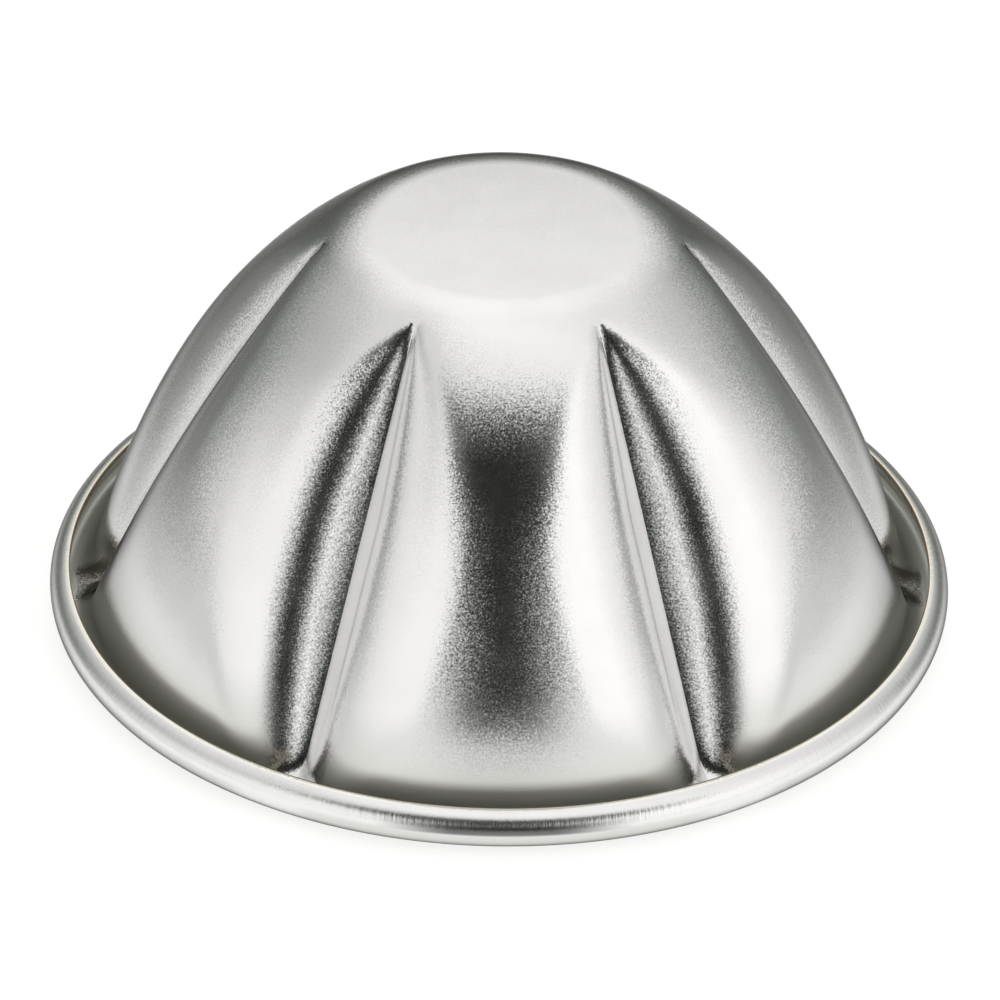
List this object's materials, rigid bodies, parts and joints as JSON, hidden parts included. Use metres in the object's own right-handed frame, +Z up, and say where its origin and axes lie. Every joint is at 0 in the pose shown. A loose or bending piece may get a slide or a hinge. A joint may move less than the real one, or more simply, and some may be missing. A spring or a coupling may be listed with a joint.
{
  "type": "jelly mould",
  "caption": "Small pressed aluminium jelly mould: a domed cup parted into petals by straight V grooves, with a flat closed end and an open rolled rim that it stands on when upside down.",
  "frame": {"origin": "centre of the ring that the mould stands on, in the plane of the flange's underside", "axes": "+Z up through the middle of the flat closed end; -Y towards the middle of one petal; two grooves lie on the X axis"},
  "size_m": [0.0794, 0.0794, 0.0372],
  "materials": {
    "satin_aluminium": "satin"
  },
  "bodies": {
    "root": {"mould_shell": "satin_aluminium"}
  },
  "joints": []
}
